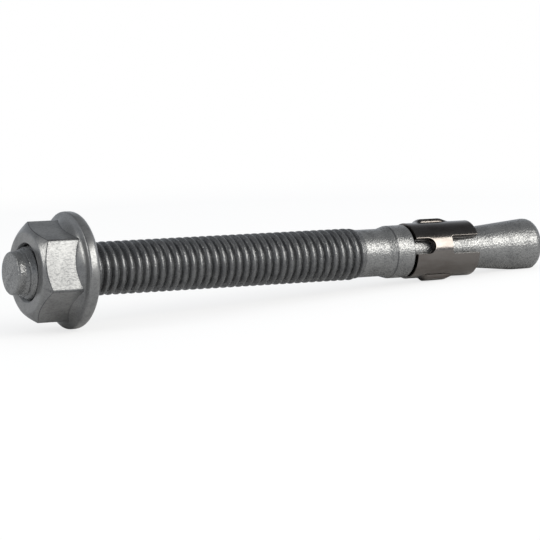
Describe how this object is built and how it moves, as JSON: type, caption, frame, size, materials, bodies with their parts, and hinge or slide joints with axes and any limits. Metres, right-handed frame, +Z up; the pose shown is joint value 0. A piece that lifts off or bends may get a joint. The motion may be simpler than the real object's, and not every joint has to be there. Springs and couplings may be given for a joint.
{
  "type": "wedge anchor",
  "caption": "Through-fixing wedge anchor: galvanised threaded bolt with a flared cone, a slotted expansion clip round its neck and a hex flange nut.",
  "frame": {"origin": "centre of the flat end of the bolt that the hammer strikes, on the bolt's axis", "axes": "+X along the bolt's axis from the struck end to the cone, +Z up as the anchor lies on its side"},
  "size_m": [0.0882, 0.0168, 0.0168],
  "materials": {
    "bolt_zinc": "hot-dip galvanised, matt grey with a fine grain",
    "clip_steel": "rolled stainless sheet, glossy brownish grey",
    "nut_zinc": "hot-dip galvanised, satin grey with faint scratches"
  },
  "bodies": {
    "nut": {"nut": "nut_zinc"},
    "clip": {"clip": "clip_steel"},
    "bolt": {"bolt": "bolt_zinc"}
  },
  "joints": [
    {"name": "clip_feed", "type": "slide", "parent": "nut", "child": "clip", "axis": [1, 0, 0], "range_m": [-0.045, 0.009]},
    {"name": "bolt_turn", "type": "hinge", "parent": "clip", "child": "bolt", "pos_m": [0.065, 0, 0], "axis": [1, 0, 0], "range_deg": [-12961, 2593]}
  ],
  "couplings": [
    {"joint": "bolt_turn", "follows": "clip_feed", "rad_per_m": 5026.5}
  ]
}
